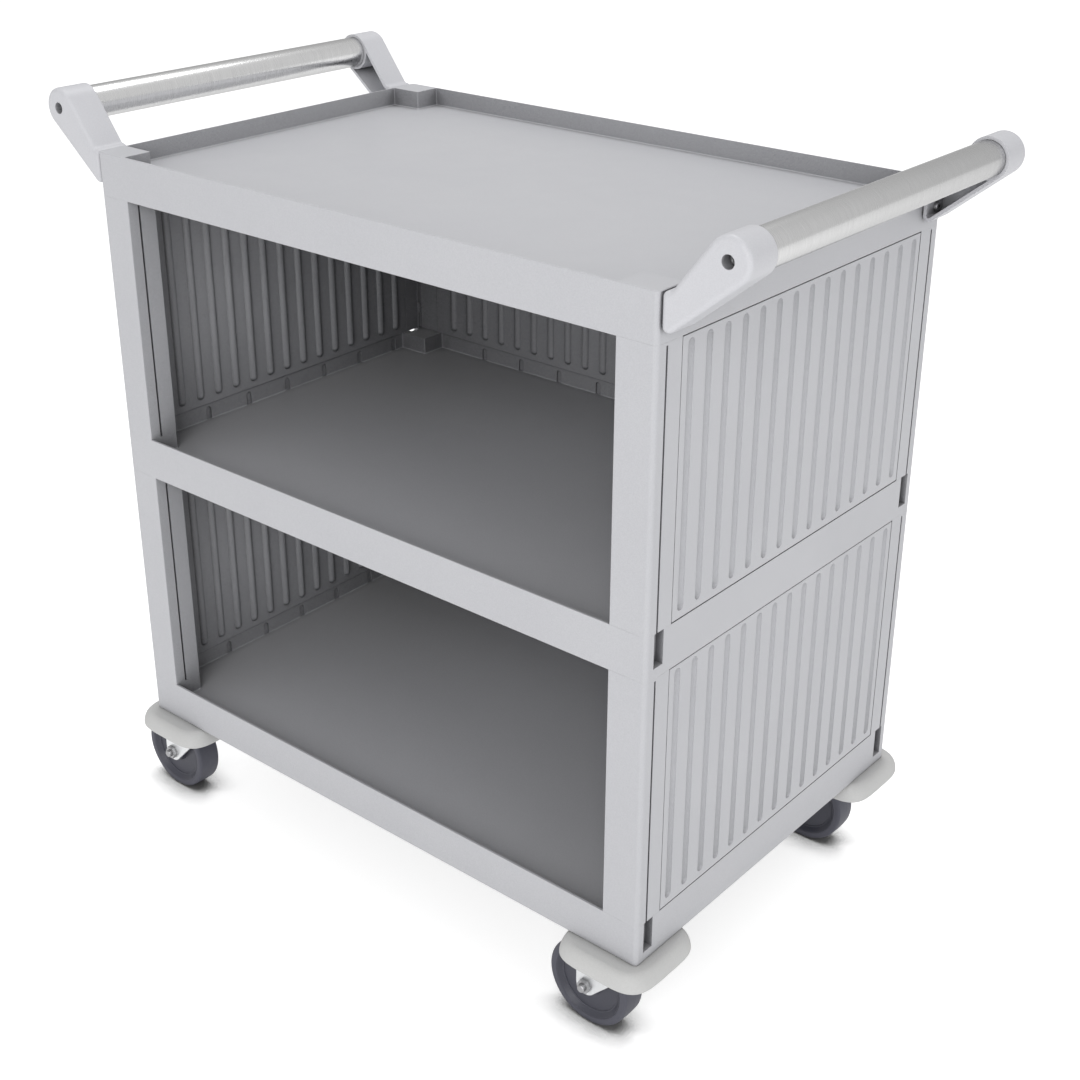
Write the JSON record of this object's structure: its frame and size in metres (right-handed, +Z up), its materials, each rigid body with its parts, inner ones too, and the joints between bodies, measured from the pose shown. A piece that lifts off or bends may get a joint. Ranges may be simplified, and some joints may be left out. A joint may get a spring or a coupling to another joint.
{
  "type": "housekeeping cart",
  "caption": "Moulded plastic service cart with three tray shelves, an open front, ribbed end and back panels, tube push handles and swivel casters.",
  "frame": {"origin": "on the floor under the middle of the cart", "axes": "+X along the length towards one handle, -Y out of the open front, +Z up"},
  "size_m": [0.957, 0.5562, 0.9179],
  "materials": {
    "body_plastic": "fine-grained matte moulding, light cool grey",
    "handle_plastic": "fine-grained matte moulding, whitish grey",
    "bumper": "smooth soft moulding, warm light grey",
    "brushed_tube": "brushed round the tube",
    "zinc": "bright zinc plate",
    "fasteners": "zinc-plated steel",
    "tyre": "smooth non-marking tread, bluish dark grey",
    "wheel_core": "moulded nylon, near-black grey"
  },
  "bodies": {
    "cabinet": {"top_shelf": "body_plastic", "middle_shelf": "body_plastic", "bottom_shelf": "body_plastic", "upper_front_left_post": "body_plastic", "upper_front_right_post": "body_plastic", "upper_rear_left_post": "body_plastic", "upper_rear_right_post": "body_plastic", "upper_left_end_panel": "body_plastic", "upper_right_end_panel": "body_plastic", "upper_back_panel": "body_plastic", "lower_front_left_post": "body_plastic", "lower_front_right_post": "body_plastic", "lower_rear_left_post": "body_plastic", "lower_rear_right_post": "body_plastic", "lower_left_end_panel": "body_plastic", "lower_right_end_panel": "body_plastic", "lower_back_panel": "body_plastic", "front_left_handle_arm": "handle_plastic", "front_right_handle_arm": "handle_plastic", "rear_left_handle_arm": "handle_plastic", "rear_right_handle_arm": "handle_plastic", "left_handle_tube": "brushed_tube", "right_handle_tube": "brushed_tube", "handle_end_screws": "fasteners", "handle_foot_bolts": "fasteners", "caster_screws": "fasteners", "kingpins": "zinc", "swivel_balls": "fasteners", "front_left_bumper": "bumper", "front_left_caster_plate": "zinc", "front_right_bumper": "bumper", "front_right_caster_plate": "zinc", "rear_left_bumper": "bumper", "rear_left_caster_plate": "zinc", "rear_right_bumper": "bumper", "rear_right_caster_plate": "zinc"},
    "front_left_swivel": {"front_left_caster_fork": "zinc", "front_left_axle_bolt": "fasteners", "front_left_axle_nut": "fasteners", "front_left_axle_sleeve": "zinc"},
    "front_left_wheel": {"front_left_wheel_core": "wheel_core", "front_left_tyre": "tyre"},
    "front_right_swivel": {"front_right_caster_fork": "zinc", "front_right_axle_bolt": "fasteners", "front_right_axle_nut": "fasteners", "front_right_axle_sleeve": "zinc"},
    "front_right_wheel": {"front_right_wheel_core": "wheel_core", "front_right_tyre": "tyre"},
    "rear_left_swivel": {"rear_left_caster_fork": "zinc", "rear_left_axle_bolt": "fasteners", "rear_left_axle_nut": "fasteners", "rear_left_axle_sleeve": "zinc"},
    "rear_left_wheel": {"rear_left_wheel_core": "wheel_core", "rear_left_tyre": "tyre"},
    "rear_right_swivel": {"rear_right_caster_fork": "zinc", "rear_right_axle_bolt": "fasteners", "rear_right_axle_nut": "fasteners", "rear_right_axle_sleeve": "zinc"},
    "rear_right_wheel": {"rear_right_wheel_core": "wheel_core", "rear_right_tyre": "tyre"}
  },
  "joints": [
    {"name": "front_left_swivel_turn", "type": "hinge", "parent": "cabinet", "child": "front_left_swivel", "pos_m": [-0.3494, -0.2196, 0.119], "axis": [0, 0, 1], "continuous": true},
    {"name": "front_left_wheel_spin", "type": "hinge", "parent": "front_left_swivel", "child": "front_left_wheel", "pos_m": [-0.3873, -0.2196, 0.0529], "axis": [0, 1, 0], "continuous": true},
    {"name": "front_right_swivel_turn", "type": "hinge", "parent": "cabinet", "child": "front_right_swivel", "pos_m": [0.3494, -0.2196, 0.119], "axis": [0, 0, 1], "continuous": true},
    {"name": "front_right_wheel_spin", "type": "hinge", "parent": "front_right_swivel", "child": "front_right_wheel", "pos_m": [0.3115, -0.2196, 0.0529], "axis": [0, 1, 0], "continuous": true},
    {"name": "rear_left_swivel_turn", "type": "hinge", "parent": "cabinet", "child": "rear_left_swivel", "pos_m": [-0.3494, 0.2196, 0.119], "axis": [0, 0, 1], "continuous": true},
    {"name": "rear_left_wheel_spin", "type": "hinge", "parent": "rear_left_swivel", "child": "rear_left_wheel", "pos_m": [-0.3873, 0.2196, 0.0529], "axis": [0, 1, 0], "continuous": true},
    {"name": "rear_right_swivel_turn", "type": "hinge", "parent": "cabinet", "child": "rear_right_swivel", "pos_m": [0.3494, 0.2196, 0.119], "axis": [0, 0, 1], "continuous": true},
    {"name": "rear_right_wheel_spin", "type": "hinge", "parent": "rear_right_swivel", "child": "rear_right_wheel", "pos_m": [0.3115, 0.2196, 0.0529], "axis": [0, 1, 0], "continuous": true}
  ]
}
